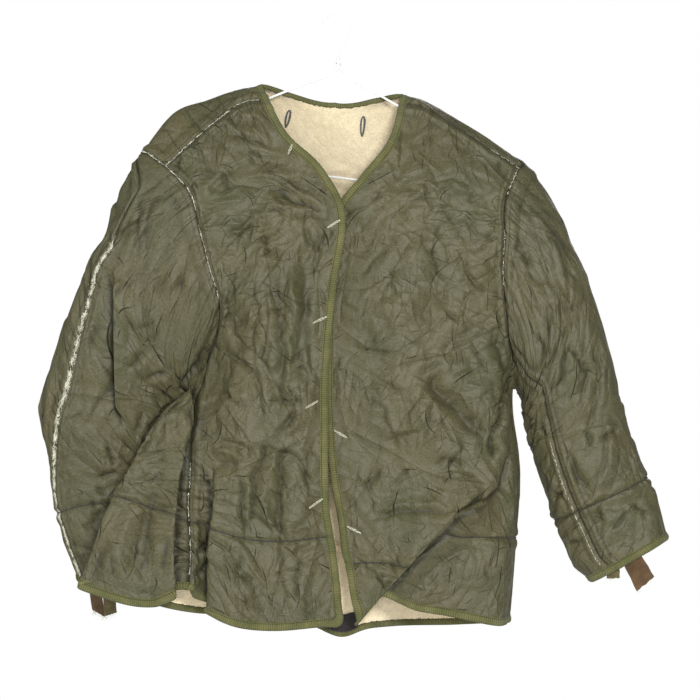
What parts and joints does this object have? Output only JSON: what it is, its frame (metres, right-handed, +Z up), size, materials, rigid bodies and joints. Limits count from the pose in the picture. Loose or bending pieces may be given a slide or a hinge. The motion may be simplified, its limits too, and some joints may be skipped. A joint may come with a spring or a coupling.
{
  "type": "field jacket liner on a wire hanger",
  "caption": "Collarless quilted field jacket liner with a pile inside, bound edges and loose cuff tabs, hanging open at the neck on a plain white wire hanger.",
  "frame": {"origin": "the point inside the top of the hanger's hook where it bears on its rail", "axes": "+Z up, the fronts face -Y, the wearer's right side is at -X"},
  "size_m": [0.8211, 0.1452, 0.8119],
  "materials": {
    "shell": "crinkled olive cloth with a soft sheen, cream pile inside",
    "binding": "ribbed knitted edge tape",
    "tab": "matte brown cloth",
    "strip": "matte olive-brown cloth",
    "patch": "matte near-black cloth, bare",
    "hanger": "white plastic-coated wire"
  },
  "bodies": {
    "root": {"back": "shell", "front_right": "shell", "front_left": "shell", "sleeve_top_right": "shell", "sleeve_under_right": "shell", "sleeve_top_left": "shell", "sleeve_under_left": "shell", "binding_front_right": "binding", "binding_front_left": "binding", "binding_back_neck": "binding", "binding_back_hem": "binding", "binding_cuff_right": "binding", "binding_cuff_left": "binding", "cuff_tab_right": "tab", "cuff_tab_left": "tab", "cuff_strip_right": "strip", "cuff_strip_left": "strip", "label_patch": "patch", "hanger_wire": "hanger"}
  },
  "joints": []
}
